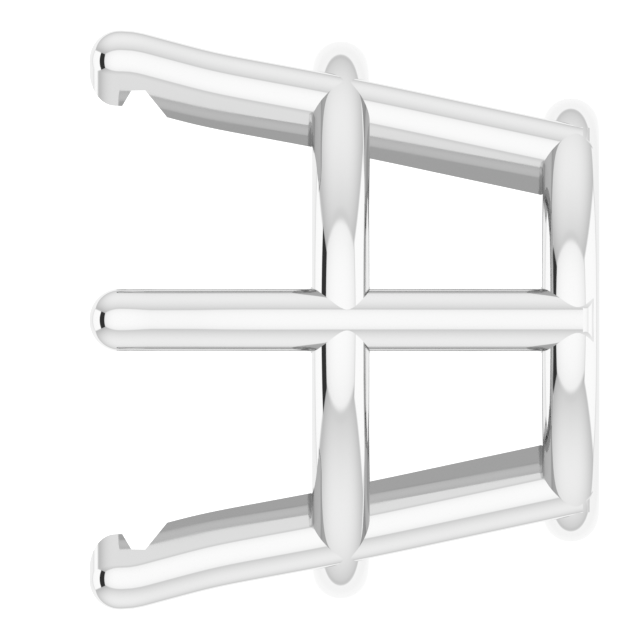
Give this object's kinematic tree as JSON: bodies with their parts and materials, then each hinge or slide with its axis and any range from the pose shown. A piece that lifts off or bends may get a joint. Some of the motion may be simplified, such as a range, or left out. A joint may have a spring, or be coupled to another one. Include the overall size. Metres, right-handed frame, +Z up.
{
  "type": "earring setting",
  "caption": "Basket setting for a round stone: leaning prongs with a seat groove near the tips, tied by an upper and a lower round wire ring.",
  "frame": {"origin": "on the axis of the six prongs, at the surface that the lower ring stands on", "axes": "+Z up along the basket's axis to the prong tips, one prong straight along -Y"},
  "size_m": [0.0066, 0.0076, 0.0059],
  "materials": {
    "polished_white_metal": "high polish outside, a little softer on the inner faces"
  },
  "bodies": {
    "root": {"setting": "polished_white_metal"}
  },
  "joints": []
}
